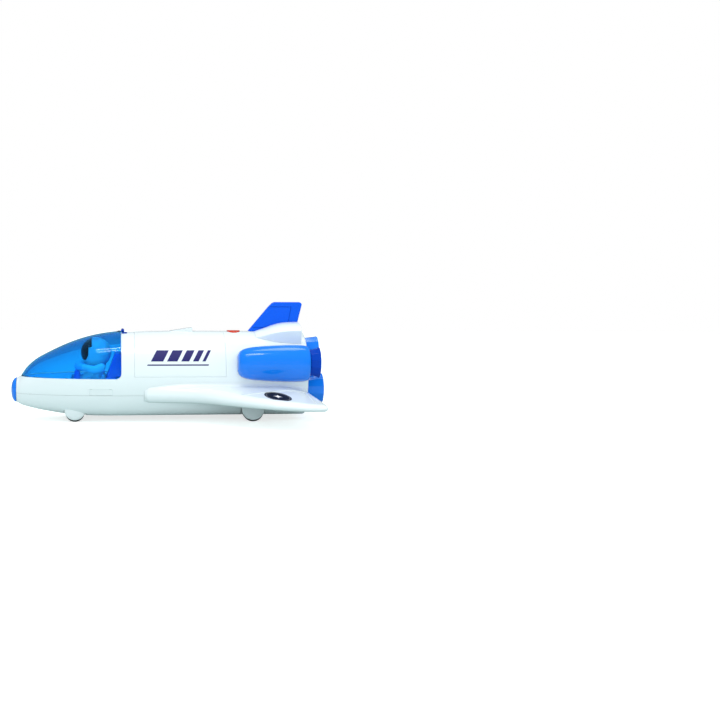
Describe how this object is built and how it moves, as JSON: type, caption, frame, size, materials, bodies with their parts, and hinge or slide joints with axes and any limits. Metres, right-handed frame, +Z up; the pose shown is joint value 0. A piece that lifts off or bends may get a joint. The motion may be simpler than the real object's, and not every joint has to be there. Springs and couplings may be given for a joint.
{
  "type": "toy space shuttle",
  "caption": "Toy space shuttle on wheels with a clear hinged canopy over a toy astronaut, two opening bay doors, delta wings, a tail fin, side engine pods and rear engine bells.",
  "frame": {"origin": "middle of the toy in plan, on the floor that the wheels stand on", "axes": "+X towards the tail, so the nose points to -X; +Y to starboard; +Z up"},
  "size_m": [0.3364, 0.242, 0.1284],
  "materials": {
    "white_shell": "glossy moulded plastic, cool white",
    "bright_blue": "glossy moulded plastic, bright blue",
    "dark_blue": "glossy moulded plastic, dark blue",
    "fin_blue": "satin moulded plastic, royal blue",
    "cockpit_blue": "moulded plastic, mid blue",
    "clear_blue": "clear blue tinted plastic",
    "figure_white": "satin white moulded plastic",
    "visor_black": "glossy black",
    "liner_grey": "satin light grey moulded plastic",
    "button_red": "glossy orange-red plastic",
    "axle_steel": "drawn steel wire",
    "wheel_rubber": "black soft plastic"
  },
  "bodies": {
    "root": {"hull_upper": "white_shell", "hull_lower": "white_shell", "rear_bulkhead": "white_shell", "battery_cover": "white_shell", "speaker_grille": "white_shell", "tail_fairing_port": "white_shell", "tail_fairing_starboard": "white_shell", "wing_port": "white_shell", "wing_starboard": "white_shell", "nose_cap": "bright_blue", "engine_pod_port": "bright_blue", "engine_pod_starboard": "bright_blue", "main_bell_top": "bright_blue", "main_bell_port": "bright_blue", "main_bell_starboard": "bright_blue", "pod_bell_port": "dark_blue", "pod_bell_starboard": "dark_blue", "canopy_hinge": "dark_blue", "seat": "dark_blue", "control_yoke": "dark_blue", "tail_fin": "fin_blue", "cockpit_tub": "cockpit_blue", "astronaut_helmet": "figure_white", "astronaut_torso": "figure_white", "astronaut_arm_port": "figure_white", "astronaut_arm_starboard": "figure_white", "astronaut_visor": "visor_black", "bay_liner": "liner_grey", "push_button": "button_red"},
    "canopy": {"canopy": "clear_blue"},
    "door_port": {"bay_door_port": "white_shell"},
    "door_starboard": {"bay_door_starboard": "white_shell"},
    "front_wheels": {"front_axle": "axle_steel", "front_wheel_port": "wheel_rubber", "front_wheel_starboard": "wheel_rubber"},
    "rear_wheels": {"rear_axle": "axle_steel", "rear_wheel_port": "wheel_rubber", "rear_wheel_starboard": "wheel_rubber"}
  },
  "joints": [
    {"name": "canopy_hinge", "type": "hinge", "parent": "root", "child": "canopy", "pos_m": [-0.0495, 0, 0.0962], "axis": [0, 1, 0], "range_deg": [0, 65]},
    {"name": "door_port_hinge", "type": "hinge", "parent": "root", "child": "door_port", "pos_m": [-0.0372, -0.0461, 0.0497], "axis": [1, 0, 0], "range_deg": [0, 105]},
    {"name": "door_starboard_hinge", "type": "hinge", "parent": "root", "child": "door_starboard", "pos_m": [-0.0372, 0.0461, 0.0497], "axis": [-1, 0, 0], "range_deg": [0, 105]},
    {"name": "front_axle_spin", "type": "hinge", "parent": "root", "child": "front_wheels", "pos_m": [-0.0999, 0, 0.0101], "axis": [0, 1, 0], "continuous": true},
    {"name": "rear_axle_spin", "type": "hinge", "parent": "root", "child": "rear_wheels", "pos_m": [0.0902, 0, 0.0116], "axis": [0, 1, 0], "continuous": true}
  ]
}
